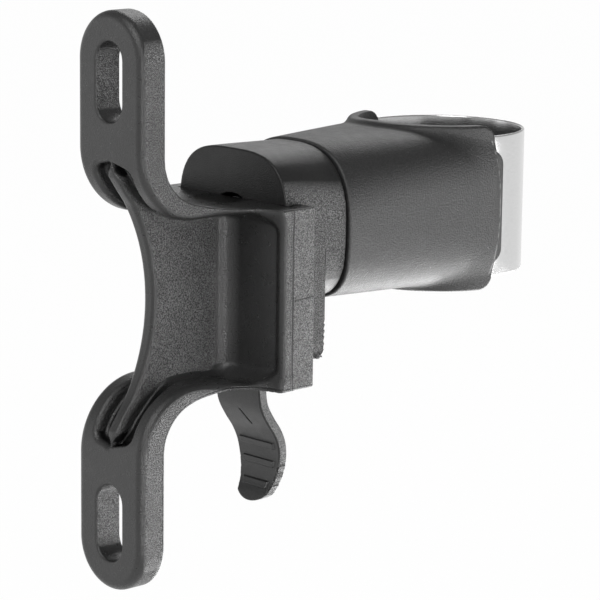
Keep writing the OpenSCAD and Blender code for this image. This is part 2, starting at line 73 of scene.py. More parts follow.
# Meshing
EVENING = 0.6         # share of the way that a vertex moves towards its neighbours, each round
FLATTEST = 0.05       # smallest squared slope that a step is divided by
LARGEST_STEP = 0.25


# Distances to shapes, negative inside. Each takes arrays of coordinates.

def length(*parts):
    return np.sqrt(sum(part * part for part in parts))


def corner(a, b, r):
    """Distance to the quarter plane a < 0, b < 0, its corner rounded by r."""
    u, v = a + r, b + r
    return np.minimum(np.maximum(u, v), 0) + length(np.maximum(u, 0), np.maximum(v, 0)) - r


def both(a, b, r=0.0):
    """Where two shapes overlap, the edge between them rounded by r."""
    if np.all(r == 0):
        return np.maximum(a, b)
    return np.minimum(-r, np.maximum(a, b)) + length(np.maximum(r + a, 0), np.maximum(r + b, 0))


def either(a, b, r=0.0):
    """Two shapes joined, with a fillet of radius r."""
    return np.maximum(r, np.minimum(a, b)) - length(np.maximum(r - a, 0), np.maximum(r - b, 0))


def without(a, b, r=0.0):
    """The first shape with the second cut out, the edge rounded by r."""
    return both(a, -b, r)


def rectangle(u, v, half_u, half_v, r=0.0):
    return corner(np.abs(u) - half_u, np.abs(v) - half_v, r)


def crowned(u, v, half_u, half_v, power):
    """Distance to a rounded section, an ellipse at power 2 and squarer above it."""
    p, q = np.abs(u) / half_u, np.abs(v) / half_v
    reach = np.maximum((p ** power + q ** power) ** (1 / power), 1e-3)
    steep = length((p / reach) ** (power - 1) / half_u, (q / reach) ** (power - 1) / half_v)
    return (reach - 1) / steep


def slab(w, low, high):
    return np.maximum(low - w, w - high)


def blend(low, high, value):
    t = np.clip((value - low) / (high - low), 0, 1)
    return t * t * (3 - 2 * t)


# Turning a distance into a mesh

def surface_net(distance, low, high, step):
    """Vertices and quads of the surface where the distance is zero."""
    axes = [np.arange(low[i], high[i] + step, step, dtype=np.float32) for i in range(3)]
    x, y, z = np.meshgrid(*axes, indexing="ij")
    values = distance(x, y, z).astype(np.float32)
    del x, y, z
    cells = np.array(values.shape) - 1
    sums = np.zeros((3, cells.prod()))
    count = np.zeros(cells.prod())
    edges = []
    for axis in range(3):
        near = np.take(values, np.arange(values.shape[axis] - 1), axis)
        far = np.take(values, np.arange(1, values.shape[axis]), axis)
        cross = (near < 0) != (far < 0)
        index = np.argwhere(cross)
        share = near[cross] / (near[cross] - far[cross])
        point = np.array(low) + index * step
        point[:, axis] += share * step
        one, two = [a for a in range(3) if a != axis]
        around = []
        inside = (index[:, one] > 0) & (index[:, two] > 0)
        inside &= (index[:, one] < cells[one]) & (index[:, two] < cells[two])
        if not inside.all():
            raise ValueError("a surface leaves its box")
        for du, dv in ((0, 0), (-1, 0), (-1, -1), (0, -1)):
            cell = index.copy()
            cell[:, one] += du
            cell[:, two] += dv
            flat = np.ravel_multi_index(tuple(cell.T), cells)
            around.append(flat)
            count += np.bincount(flat, minlength=count.size)
            for i in range(3):
                sums[i] += np.bincount(flat, weights=point[:, i], minlength=count.size)
        quad = np.stack(around, 1)
        flip = (near[cross] < 0) != (axis == 1)
        quad[~flip] = quad[~flip][:, ::-1]
        edges.append(quad)
    used = np.nonzero(count)[0]
    number = np.full(count.size, -1)
    number[used] = np.arange(used.size)
    points = (sums[:, used] / count[used]).T
    return points, number[np.concatenate(edges)]


def slope(distance, points, h=0.02):
    """Gradient of a distance at points."""
    parts = []
    for i in range(3):
        ahead, behind = points.copy(), points.copy()
        ahead[:, i] += h
        behind[:, i] -= h
        parts.append((distance(*ahead.T) - distance(*behind.T)) / (2 * h))
    return np.stack(parts, 1)


def settle(distance, points, quads, rounds=3):
    """Evens out the vertices along the surface and puts them exactly on it."""
    ends = np.concatenate([quads[:, [i, (i + 1) % 4]] for i in range(4)])
    degree = np.bincount(ends[:, 0], minlength=len(points))
    for _ in range(rounds):
        mean = np.stack([
            np.bincount(ends[:, 0], weights=points[ends[:, 1], i], minlength=len(points))
            for i in range(3)
        ], 1) / degree[:, None]
        grad = slope(distance, points)
        size = np.maximum((grad * grad).sum(1), FLATTEST)
        move = EVENING * (mean - points)
        move -= grad * ((move * grad).sum(1) / size)[:, None]
        points = points + move
        for _ in range(2):
            grad = slope(distance, points)
            size = np.maximum((grad * grad).sum(1), FLATTEST)
            step = np.clip(distance(*points.T) / size, -LARGEST_STEP, LARGEST_STEP)
            points = points - grad * step[:, None]
    return points


def mesh_piece(name, points, faces):
    mesh = bpy.data.meshes.new(name)
    mesh.from_pydata((points * MM).tolist(), [], faces.tolist())
    mesh.polygons.foreach_set("use_smooth", [True] * len(mesh.polygons))
    mesh.update()
    piece = bpy.data.objects.new(name, mesh)
    bpy.context.scene.collection.objects.link(piece)
    return piece


def carved(name, distance, low, high, step, fields):
    """A mesh object made from a distance in millimetres, with named values kept at its vertices."""
    step = step * 1
    points, quads = surface_net(distance, low, high, step)
    points = settle(distance, points, quads)
    piece = mesh_piece(name, points, quads)
    grad = slope(distance, points, 0.01)
    grad /= np.maximum(np.linalg.norm(grad, axis=1)[:, None], 1e-6)
    piece.data.normals_split_custom_set_from_vertices(grad.tolist())
    for field, value in fields.items():
        kept = piece.data.attributes.new(field, "FLOAT", "POINT")
        kept.data.foreach_set("value", value(*points.T).astype(np.float32))
    return piece


# The bracket. Below, u runs back from the lugs' front and v up from the bracket's middle;
# ax and av are the distances from the middle to each side.

LUG_T, LUG_HALF = 4.6, 7.1
LUG_TOP = 34.95                             # centre of a lug's round end
LUG_BEND, BACK_BEND = 10.5, 7.0             # radii of the turn from lug to flange, in front and behind
FLANGE_Z, FLANGE_RISE = 12.0, 0.55          # inner face of a flange at the turn, and its rise to the plate
REAR_RISE, REAR_SPAN = 1.1, (9, 17)         # extra height of the flange's outer face, and where it fades
SIDE_R = 11.0                               # sweep of a flange's sides in plan
SPINE_DEPTH, SPINE_HALF = 7.5, 19.1         # the hollow front edge of the web
WEB_HALF, WEB_THINNING = 1.3, 1.1
WEB_TAPER = 18, 20.6                        # where the web thins to its pointed end
WEB_FRONT = 0.5
POCKET_RIGHT, POCKET_LEFT = 4.3, 3.7        # outer sides of the two pockets
POCKET_INNER = 1.0
POCKET_END, POCKET_SLANT, POCKET_R = 20.75, 0.25, 1.2
POCKET_DEPTH, POCKET_FADE = 2, (4.5, 11)
RECESS_DEPTH, RECESS_X, RECESS_Z, RECESS_R = 0.6, 13.3, 12, 2.5
RECESS_SLOPE = -0.2, 1.3                    # from the recess's outline to its floor
SLOT_HALF, SLOT_Z, SLOT_END = 2.75, 32.0, 2.95
SLOT_REACH = 4                              # how far the slot's cut goes on behind the lug
LUG_EDGE, REAR_EDGE, WEB_EDGE, SIDE_EDGE, SLOT_EDGE = 1.3, 0.45, 0.85, 0.4, 0.35
PLATE_EDGE, SEAT_EDGE, CUT_EDGE = 0.7, 0.3, 0.15
WEB_FILLET = 3.3


def lug_outline(ax, av):
    return length(ax, np.maximum(av - LUG_TOP, 0)) - LUG_HALF


def flange_outline(ax, u):
    """Plan of a flange, which sweeps out from the lug to the plate."""
    centre = LUG_HALF + SIDE_R
    sweep = SIDE_R - length(ax - centre, np.maximum(u - LUG_BEND, 0))
    return np.where(ax > centre, SIDE_R, sweep)


def turn_front(u, av):
    """Front of a lug and the inner face of its flange, joined by the turn."""
    under = FLANGE_Z + FLANGE_RISE * blend(LUG_BEND, PLATE_Y, u)
    return corner(-u, under - av, LUG_BEND)


def turn_rear(u, av):
    """Back of a lug and the outer face of its flange."""
    top = PLATE_H / 2 + REAR_RISE * (1 - blend(*REAR_SPAN, u))
    return -corner(LUG_T - u, top - av, BACK_BEND)


def lug_sheet(x, ax, av, u, front):
    """Lugs and flanges, with a pocket on each side of the web where they turn."""
    outline = np.where(u < LUG_BEND, lug_outline(ax, av), flange_outline(ax, u))
    sheet = both(front, outline, LUG_EDGE)
    sheet = both(sheet, turn_rear(u, av), REAR_EDGE)
    sheet = np.maximum(sheet, np.maximum(u - PLATE_Y - 0.6, ax - PLATE_W / 2 + 0.2))
    fade = blend(*POCKET_FADE, u)
    outer = np.where(x > 0, POCKET_RIGHT, POCKET_LEFT)
    pocket = corner(ax - outer + 0.8 * fade, av + POCKET_SLANT * ax - POCKET_END, POCKET_R)
    pocket = both(pocket, -front - POCKET_DEPTH * (1 - fade), 0.6)
    pocket = both(pocket, POCKET_INNER - blend(*WEB_TAPER, av) - ax, 0.2)
    return without(sheet, pocket, np.where(x > 0, 0.25, 0.8))


def web_plate(ax, av, u, v, front):
    """The web between the flanges, pointed at its ends, with a hollow front edge."""
    spine_r = (SPINE_HALF ** 2 + SPINE_DEPTH ** 2) / (2 * SPINE_DEPTH)
    spine = spine_r - length(u - SPINE_DEPTH + spine_r, v)
    web = both(ax - WEB_HALF + WEB_THINNING * blend(*WEB_TAPER, av), spine, WEB_EDGE)
    web = np.maximum(web, np.maximum(u - PLATE_Y - 1, WEB_FRONT - u))
    return np.maximum(web, np.maximum(-front - POCKET_DEPTH, av - FLANGE_Z - LUG_BEND))


def rear_plate(ax, av, u):
    """Plate with a rim round its recessed front, and the walls behind it as one block."""
    full = PLATE_T + WALL_L + WALL_EXTRA
    recess = -corner(ax - RECESS_X, av - RECESS_Z, RECESS_R)
    sunk = u - RECESS_DEPTH * blend(*RECESS_SLOPE, recess)
    front_part = corner(PLATE_Y - sunk, av - PLATE_H / 2, PLATE_EDGE)
    rear_part = corner(u - PLATE_Y - full, av - PLATE_H / 2, SEAT_EDGE)
    # The side edges are rounder in front than behind
    edge = 0.9 - 0.6 * blend(PLATE_Y + 0.8, PLATE_Y + 2, u)
    return both(np.maximum(front_part, rear_part), ax - PLATE_W / 2, edge)


def rail_space(ax, u):
    """Room behind the plate for the rail, which leaves the walls with a lip each."""
    behind = u - PLATE_Y - PLATE_T
    inner = BLOCK_W / 2 + RAIL_GAP
    space = both(ax - inner + GROOVE_IN, -behind)
    space = np.minimum(space, np.maximum(ax - inner, slab(behind, 0, RAIL_HEAD + RAIL_GAP)))
    return np.minimum(space, np.maximum(ax - inner, WALL_L - behind))


def bracket(x, y, z):
    u = y + REACH
    v = z + AXIS_DROP
    ax, av = np.abs(x), np.abs(v)
    front = turn_front(u, av)
    body = either(web_plate(ax, av, u, v, front), rear_plate(ax, av, u), WEB_FILLET)
    # The fillet along the flanges grows towards the plate
    body = either(body, lug_sheet(x, ax, av, u, front), 0.4 + 2.0 * blend(7, 14, u))
    body = both(body, ax - PLATE_W / 2, SIDE_EDGE)
    body = both(body, turn_rear(u, av), SEAT_EDGE)
    body = without(body, rail_space(ax, u), CUT_EDGE)
    slot = length(ax, np.maximum(np.abs(av - SLOT_Z) - SLOT_END, 0)) - SLOT_HALF
    return without(body, np.maximum(slot, u - LUG_T - SLOT_REACH), SLOT_EDGE)


# The clamp block with its rail, tail and nose

PIVOT_Y, PIVOT_Z, HUB_R = BLOCK_FRONT + 3.8, -4.6 - AXIS_DROP, 2.3
LEVER_HALF = 4.8
D_POWER, ROUNDER, SQUARER = 3.2, 0.65, 0.7  # section at the front, its change to the back and below
LOWER_SPAN = 7                              # height below the axis in which the section grows squarer
BLOCK_EDGE, TAIL_EDGE = 0.3, 0.25
NOSE_HALF, NOSE_R, NOSE_L = 9.2, 2, 13.6
CAVITY_HALF, CAVITY_WALL = 7.8, 3.4
TAIL_EXTRA = 0.35                           # the tail shows this much deeper than in the CAD
TORN_TOP, TORN_FULL = -13, -14.5            # heights between which the tail's rear edge turns uneven
TORN_FRONT, TORN_BACK = 4.8, 6.2            # the same for its lower end, behind the block's front
CHIP_TOP, CHIP_END = -17.6, -18.8           # the chipped rear corner of the tail
ACCESS_R, ACCESS_DEPTH, SHANK_R = 4.85, 6.4, 2.6
LEVER_GAP, LEVER_WALL = 0.3, 1.4


def ragged(a, b):
    """Uneven height of a torn edge, between -1 and 1."""
    return (0.5 * np.sin(4.1 * a + 0.7) + 0.3 * np.sin(9.3 * a + 2.1 * b) + 0.2 * np.sin(17.7 * a + 3.1 * b))


def tail_end(x, y):
    """Height of the tail's lower end, which is torn along its rear edge."""
    torn = blend(BLOCK_FRONT + TORN_FRONT, BLOCK_FRONT + TORN_BACK, y)
    return -TAIL_Z + 0.1 + 0.75 * torn * ragged(1.3 * x, 2.6 * y)


def tail_back(x, z):
    """Where the tail ends along Y, uneven and chipped near its lower end."""
    uneven = 0.3 * ragged(1.6 * z, x) - 0.4 * blend(CHIP_TOP, CHIP_END, z)
    return BLOCK_FRONT + TAIL_L + TAIL_EXTRA + uneven * blend(TORN_TOP, TORN_FULL, z)


def block_section(x, y, z):
    """The D-topped section, rounder towards the sleeve and squarer below."""
    power = D_POWER - ROUNDER * blend(BLOCK_FRONT, BLOCK_BACK, y) + SQUARER * blend(0, LOWER_SPAN, -z)
    return crowned(x, z, BLOCK_W / 2, BLOCK_H / 2, power)


def block(x, y, z):
    ax = np.abs(x)
    main = both(block_section(x, y, z), slab(y, BLOCK_FRONT, BLOCK_BACK), BLOCK_EDGE)
    tail = both(ax - BLOCK_W / 2, np.maximum(BLOCK_FRONT - y, y - tail_back(x, z)), TAIL_EDGE)
    tail = np.maximum(tail, np.maximum(tail_end(x, y) - z, z))
    # No fillet near the tail's top, where its sides lie in the block's
    body = either(main, tail, 1.2 * blend(-5, -9, z))
    nose = both(rectangle(x, z, NOSE_HALF, NOSE_HALF, NOSE_R), slab(y, BLOCK_BACK - 1, BLOCK_BACK + NOSE_L))
    cavity = both(rectangle(x, z, CAVITY_HALF, CAVITY_HALF), BLOCK_BACK - CAVITY_WALL - y)
    body = without(np.minimum(body, nose), cavity)
    body = without(body, np.maximum(length(x, z) - ACCESS_R, y - BLOCK_FRONT - ACCESS_DEPTH), CUT_EDGE)
    body = without(body, length(x, z) - SHANK_R)
    groove_top = -AXIS_DROP + PLATE_H / 2 - 0.2
    groove = slab(y, BLOCK_FRONT + RAIL_HEAD, BLOCK_FRONT + WALL_L + RAIL_GAP)
    groove = np.maximum(groove, z - groove_top)
    body = without(body, np.maximum(groove, BLOCK_W / 2 - GROOVE_IN - ax), CUT_EDGE)
    # Slot for the lever, open in front and below
    slot = np.maximum(y - BLOCK_FRONT - TAIL_L + LEVER_WALL, z - PIVOT_Z - HUB_R - LEVER_GAP)
    return without(body, np.maximum(ax - LEVER_HALF - LEVER_GAP, slot), 0.2)


# The rubber sleeve

ARM_HALF_Z, ARM_R, ARM_CORNER = 12.8, 14.25, 2.4
ARM_MID_Y, ARM_END_Y = -14, -2.1
LEFT_REACH, LEFT_LOWER = 1.6, 0.5           # how much further round and lower the left arm is
TIP_Y, TIP_CURVE = -1.0, 1.1                # where the barrel ends, and how far its end curves back
LIP_Y, LIP_R, LIP_HALF_Z = -0.2, 14.2, 8.8
BARREL_X, BARREL_Z = 12.1, 11.9             # half width and half height in front
WIDENING, HEIGHTENING = 2.65, 0.4
SLEEVE_EDGE, RIM_EDGE, ARM_FILLET = 0.35, 0.4, 1.2
BAND_SLOT_Y = -4                            # the band leaves the rubber behind this


def barrel_end(z):
    """Where the barrel ends along Y: furthest at mid height."""
    return TIP_Y - TIP_CURVE * np.minimum((z / 9) ** 2, 1.5)


def barrel(x, y, z):
    """From the block to the tube, growing wider and squarer."""
    t = np.clip((y - SLEEVE_FRONT) / (TIP_Y - SLEEVE_FRONT), 0, 1)
    power = 2.6 + 2 * t + SQUARER * (1 - t) * blend(0, LOWER_SPAN, -z)
    shape = crowned(x, z, BARREL_X + WIDENING * t, BARREL_Z + HEIGHTENING * t, power)
    shape = both(shape, SLEEVE_FRONT - y, SLEEVE_EDGE)
    return both(shape, y - barrel_end(z), RIM_EDGE)


def sleeve(x, y, z):
    around = length(x, y)
    left = blend(0, 8, -x)
    side = rectangle(y - ARM_MID_Y, z, ARM_END_Y - ARM_MID_Y + LEFT_REACH * left,
                     ARM_HALF_Z - LEFT_LOWER * left, ARM_CORNER)
    arms = both(around - ARM_R, side, RIM_EDGE)
    body = either(barrel(x, y, z), arms, ARM_FILLET)
    # Thin lip past the barrel's end
    lip = both(around - LIP_R, corner(y - LIP_Y, np.abs(z) - LIP_HALF_Z, ARM_CORNER), 0.3)
    body = np.minimum(body, lip)
    body = without(body, around - TUBE_R, 0.25)
    band = np.maximum(np.abs(around - BAND_MID) - BAND_T / 2 - 0.1, np.abs(z) - BAND_HALF - 0.1)
    return without(body, np.maximum(band, BAND_SLOT_Y - y), 0.1)


def painted_end_highlight(x, y, z):
    """Distance to the line just before the barrel's end, on its right side, along which a highlight is
    painted.
    """
    return np.where((x > 13) & (np.abs(z) < 10.5), y - barrel_end(z) + RIM_EDGE, FAR)


# The release lever

BLADE_DROP, BLADE_OUT, BLADE_T = 33.5, 4.5, 1.6
# The blade's S in shares of its reach to the rear and of its drop
BLADE = [
    (-0.04, -0.41), (-0.04, -0.41), (0, -0.5), (0.12, -0.56), (0.41, -0.625), (0.73, -0.685),
    (0.93, -0.745), (1, -0.81), (0.97, -0.87), (0.84, -0.925), (0.64, -0.965), (0.47, -1), (0.2, -1.05),
]
TAPER_Z, TAPER_R, END_R = -22.0 - AXIS_DROP, 32.5, 5.0
RIBS = [-30.9 - AXIS_DROP, -27.7 - AXIS_DROP, -24.8 - AXIS_DROP]
RIB_W, RIB_H, RIB_INSET = 0.95, 0.28, 1.15
MARK_DROP, MARK_HALF, MARK_DEPTH = 20.2, 1.3, 0.4
CATCH_Z, CATCH_Y = (-19.5, -17.9), (BLOCK_FRONT - 1.1, BLOCK_FRONT + 2.2)
FLASH_TOP = -36                             # the blade's sides are slightly uneven below this height
PIN_HOLE_R = 1.05


def blade_line(steps=6):
    """Points down the front face of the blade, on a smooth curve."""
    points = [np.array((BLOCK_FRONT + 1.5 + BLADE_OUT * p, BLADE_DROP * q - AXIS_DROP)) for p, q in BLADE]
    line = [np.array((points[0][0], PIVOT_Z + 5))]
    for a, b, c, d in zip(points, points[1:], points[2:], points[3:]):
        for t in np.arange(steps) / steps:
            line.append(0.5 * (2 * b + t * (c - a) + t * t * (2 * a - 5 * b + 4 * c - d)
                               + t ** 3 * (3 * b - a - 3 * c + d)))
    return np.array(line + [points[-2], points[-2] + np.array((-0.9, -1.2))])


def blade_half(z):
    """Half the width of the blade at a height, where its sides curve in."""
    drop = np.maximum(TAPER_Z - z, 0)
    return LEVER_HALF - TAPER_R + np.sqrt(np.maximum(TAPER_R ** 2 - drop * drop, 1))


def grip_rib(x, z):
    """Height share of the ribs, from 0 to 1, which end short of the blade's sides."""
    rib = np.zeros(x.shape)
    for height in RIBS:
        at = z - height
        upper = 1 - blend(RIB_W / 2 - 0.05, RIB_W / 2 + 0.12, at)
        lower = blend(-RIB_W / 2 - 0.06, -RIB_W / 2 + 0.06, at)
        rib = np.maximum(rib, upper * lower)
    return rib * (1 - blend(0, 0.25, np.abs(x) - blade_half(z) + RIB_INSET))


def cut_mark(x, y, z):
    """Distance across the short cut-in mark above the ribs, which lies a little aslant."""
    along = z + AXIS_DROP + MARK_DROP
    return np.where(np.abs(along) < MARK_HALF, x - 0.25 + 0.5 * along, FAR)


def front_edge(x, y, z):
    """Distance to the dark line between the blade's front and its right side."""
    shift = 0.12 * ragged(z, 0) * (z < FLASH_TOP)
    return np.where((x > 1) & (z < -19), blade_half(z) - 0.1 - x + shift, FAR)


def lever(x, y, z):
    line = blade_line()
    best = np.full(x.shape, 1e9)
    side = np.zeros(x.shape)
    for a, b in zip(line, line[1:]):
        d = b - a
        size = np.linalg.norm(d)
        t = np.clip(((y - a[0]) * d[0] + (z - a[1]) * d[1]) / size ** 2, 0, 1)
        py, pz = y - a[0] - t * d[0], z - a[1] - t * d[1]
        far = length(py, pz)
        nearer = far < best
        best = np.where(nearer, far, best)
        side = np.where(nearer, np.sign(d[0] * pz - d[1] * py) * far, side)
    along = z + AXIS_DROP + MARK_DROP
    mark = (1 - blend(0.1, 0.2, np.abs(cut_mark(x, y, z)))) * (1 - blend(1.1, 1.25, np.abs(along)))
    face = -side - RIB_H * grip_rib(x, z) + MARK_DEPTH * mark
    blade = both(both(face, side - BLADE_T), np.maximum(-4 - side, z - PIVOT_Z - 4), 0.2)
    hub = length(y - PIVOT_Y, z - PIVOT_Z) - HUB_R
    body = either(blade, hub, 0.6)
    catch = np.maximum(slab(z, *CATCH_Z), slab(y, *CATCH_Y))
    body = np.minimum(body, catch)
    end = np.where(z < TAPER_Z, length(x, z - (-BLADE_DROP - AXIS_DROP + END_R)) - END_R, -1)
    end = np.where(z > -BLADE_DROP - AXIS_DROP + END_R, -1, end)
    flash = 0.05 * ragged(z, x) * (z < FLASH_TOP)
    body = both(body, both(np.abs(x) - blade_half(z) + flash, end, 0.2), 0.25)
    return without(body, length(y - PIVOT_Y, z - PIVOT_Z) - PIN_HOLE_R)


# Materials

PLASTIC_GRAIN, RUBBER_GRAIN = 5200, 4000    # waves a metre
SIDES_ROUGHER = 0.17
LINE_DEPTH = 0.00015


def material(name):
    made = bpy.data.materials.new(name)
    made.use_nodes = True
    tree = made.node_tree
    tree.nodes.clear()
    out = tree.nodes.new("ShaderNodeOutputMaterial")
    shader = tree.nodes.new("ShaderNodeBsdfPrincipled")
    tree.links.new(shader.outputs["BSDF"], out.inputs["Surface"])
    return made, tree, shader


def noise(tree, scale, detail=2.0, rough=0.5, stretch=None):
    """Noise over the object's own space, its scale in waves a metre."""
    place = tree.nodes.new("ShaderNodeTexCoord")
    node = tree.nodes.new("ShaderNodeTexNoise")
    node.inputs["Scale"].default_value = scale
    node.inputs["Detail"].default_value = detail
    node.inputs["Roughness"].default_value = rough
    source = place.outputs["Object"]
    if stretch:
        mapping = tree.nodes.new("ShaderNodeMapping")
        mapping.inputs["Scale"].default_value = stretch
        tree.links.new(source, mapping.inputs["Vector"])
        source = mapping.outputs["Vector"]
    tree.links.new(source, node.inputs["Vector"])
    return node.outputs["Fac"]


def map_range(tree, source, from_low, from_high, low, high):
    node = tree.nodes.new("ShaderNodeMapRange")
    node.inputs["From Min"].default_value = from_low
    node.inputs["From Max"].default_value = from_high
    node.inputs["To Min"].default_value = low
    node.inputs["To Max"].default_value = high
    tree.links.new(source, node.inputs["Value"])
    return node.outputs["Result"]


def maths(tree, operation, a, b=0.0):
    node = tree.nodes.new("ShaderNodeMath")
    node.operation = operation
    for socket, value in zip(node.inputs, (a, b)):
        if isinstance(value, (int, float)):
            socket.default_value = value
        else:
            tree.links.new(value, socket)
    return node.outputs[0]


def grey(tree, value):
    """A colour from a single value."""
    node = tree.nodes.new("ShaderNodeCombineColor")
    for socket in node.inputs[:3]:
        tree.links.new(value, socket)
    return node.outputs["Color"]


def kept_value(tree, name):
    """A value stored at the mesh's vertices."""
    node = tree.nodes.new("ShaderNodeAttribute")
    node.attribute_name = name
    return node.outputs["Fac"]


def bump(tree, height, distance, below=None):
    """Bump whose height is in shares of the distance, in metres."""
    node = tree.nodes.new("ShaderNodeBump")
    node.inputs["Distance"].default_value = distance
    tree.links.new(height, node.inputs["Height"])
    if below:
        tree.links.new(below, node.inputs["Normal"])
    return node.outputs["Normal"]


def facing_sides(tree, low, high):
    """From 0 on faces that look forwards or up to 1 on those that look to a side."""
    place = tree.nodes.new("ShaderNodeTexCoord")
    split = tree.nodes.new("ShaderNodeSeparateXYZ")
    tree.links.new(place.outputs["Normal"], split.inputs["Vector"])
    return map_range(tree, maths(tree, "ABSOLUTE", split.outputs["X"]), 0.88, 0.98, low, high)


def grained_plastic(name, tone, side_tone_painted_light, rough, grain, lines=(), shades=(), gloss_level=0.5):
    """Black plastic: spark-eroded grain on the sides, smoother on the front, paler on sharp edges, with
    painted light that makes faces looking to a side lighter than the front.

    The lines are (kept value, half width in mm, tone share) and dark; the shades are
    (kept value, low, high, tone share) and darken from low to high.
    """
    made, tree, shader = material(name)
    shader.inputs["Specular IOR Level"].default_value = gloss_level
    coarse = facing_sides(tree, 0.2, 1.0)
    blotch = map_range(tree, noise(tree, 160, 3), 0.3, 0.7, 0.88, 1.12)
    fine = noise(tree, PLASTIC_GRAIN, 2.0, 0.7)
    specks = map_range(tree, fine, 0.4, 0.64, 0.2, 2.6)
    specks = maths(tree, "ADD", maths(tree, "MULTIPLY", maths(tree, "SUBTRACT", specks, 1.0), coarse), 1.0)
    geometry = tree.nodes.new("ShaderNodeNewGeometry")
    # Sharp convex edges are made paler
    edge = map_range(tree, geometry.outputs["Pointiness"], 0.52, 0.6, 1.0, 1.35)
    value = maths(tree, "MULTIPLY", maths(tree, "MULTIPLY", blotch, specks), edge)
    # Painted light: faces that look to a side get a lighter tone than those that look forwards or up
    value = maths(tree, "MULTIPLY", value, facing_sides(tree, tone, side_tone_painted_light))
    cut = 1.0
    for line, width, dark in lines:
        away = maths(tree, "ABSOLUTE", kept_value(tree, line))
        inside = map_range(tree, away, 0.3 * width, width, dark, 1.0)
        cut = maths(tree, "MULTIPLY", cut, inside)
        value = maths(tree, "MULTIPLY", value, inside)
    for field, low, high, dark in shades:
        shade = map_range(tree, kept_value(tree, field), low, high, 1.0, dark)
        value = maths(tree, "MULTIPLY", value, shade)
    tree.links.new(grey(tree, value), shader.inputs["Base Color"])
    gloss = map_range(tree, noise(tree, 900, 2), 0.3, 0.7, -0.04, 0.04)
    gloss = maths(tree, "ADD", gloss, facing_sides(tree, rough, rough + SIDES_ROUGHER))
    tree.links.new(gloss, shader.inputs["Roughness"])
    normal = bump(tree, fine, grain)
    tree.links.new(coarse, normal.node.inputs["Strength"])
    normal = bump(tree, noise(tree, 90, 2), 0.00006, normal)
    if lines:
        normal = bump(tree, cut, LINE_DEPTH, normal)
    tree.links.new(normal, shader.inputs["Normal"])
    return made


def soft_rubber(name, tone, rough):
    """Satin moulded rubber with a fine grain, dust specks, faint flow marks along its length and a painted
    highlight in dashes along the barrel's end.
    """
    made, tree, shader = material(name)
    flow = map_range(tree, noise(tree, 220, 3, 0.6, (1.0, 0.35, 1.0)), 0.3, 0.7, 0.9, 1.1)
    fine = noise(tree, RUBBER_GRAIN, 2)
    specks = map_range(tree, fine, 0.35, 0.7, 0.6, 1.5)
    dust = map_range(tree, noise(tree, 2600, 0), 0.84, 0.88, 0.0, 0.06)
    value = maths(tree, "MULTIPLY", maths(tree, "MULTIPLY", flow, specks), tone)
    # The barrel's end has a scuffed edge, paler in short dashes
    # A highlight is painted in short dashes along the edge just before the barrel's end
    highlight_dashes = map_range(tree, noise(tree, 1300, 1), 0.42, 0.6, 0.0, 0.12)
    edge = map_range(tree, maths(tree, "ABSOLUTE", kept_value(tree, "painted_end_highlight")), 0.06, 0.2, 1.0, 0.0)
    value = maths(tree, "ADD", value, dust)
    value = maths(tree, "ADD", value, maths(tree, "MULTIPLY", highlight_dashes, edge))
    tree.links.new(grey(tree, value), shader.inputs["Base Color"])
    gloss = map_range(tree, noise(tree, 700, 3), 0.3, 0.7, rough - 0.03, rough + 0.03)
    tree.links.new(gloss, shader.inputs["Roughness"])
    normal = bump(tree, fine, 0.00009)
    normal = bump(tree, noise(tree, 140, 2), 0.00004, normal)
    tree.links.new(normal, shader.inputs["Normal"])
    return made


def rolled_steel(name, tone, rough, stretch, grain):
    """Metal with fine drawn lines along one direction."""
    made, tree, shader = material(name)
    lines = noise(tree, 900, 3, 0.7, stretch)
    value = map_range(tree, lines, 0.3, 0.7, tone * 0.93, tone * 1.05)
    tree.links.new(grey(tree, value), shader.inputs["Base Color"])
    shader.inputs["Metallic"].default_value = 1.0
    tree.links.new(map_range(tree, lines, 0.3, 0.7, rough - 0.05, rough + 0.07), shader.inputs["Roughness"])
    tree.links.new(bump(tree, lines, grain), shader.inputs["Normal"])
    return made


def dress(piece, made):
    """Gives a piece one finish."""
    piece.data.materials.clear()
    piece.data.materials.append(made)


def moulded(name, node, body, distance, low, high, step, finish, fields=None):
    """A moulded piece in place of its CAD node, meshed in a box from low to high."""
    piece = carved(name, distance, low, high, step, fields or {})
    dress(piece, finish)
    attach(piece, body)
    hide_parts(node)
    return piece


# The steel band

PIN_X, PIN_Y, LOOP_R = 5.75, -28.6, 1.2
NARROW_Y, NARROW_L = -17, 14.1              # where the band starts to widen, and over what length
LOOP_STEPS, RUN_STEPS, RING_STEPS = 20, 24, 90
EDGE_STEPS, FLAT_STEPS = 7, 9


def band_path():
    """The band's line seen from above, from one turned end round the tube to the other."""
    far = math.hypot(PIN_X, PIN_Y)
    turn = math.atan2(PIN_X, -PIN_Y) + math.acos((BAND_MID - LOOP_R) / far) - math.pi / 2
    loop = [(PIN_X + LOOP_R * math.cos(a), PIN_Y + LOOP_R * math.sin(a))
            for a in np.linspace(turn - math.pi, turn, LOOP_STEPS)]
    ring = [(BAND_MID * math.cos(a), BAND_MID * math.sin(a))
            for a in np.linspace(turn, math.pi / 2, RING_STEPS)]
    run = [tuple(np.array(loop[-1]) * (1 - t) + np.array(ring[0]) * t)
           for t in np.linspace(0, 1, RUN_STEPS)[1:-1]]
    half = np.array(loop + run + ring)
    return np.concatenate([half, half[-2::-1] * (-1, 1)])


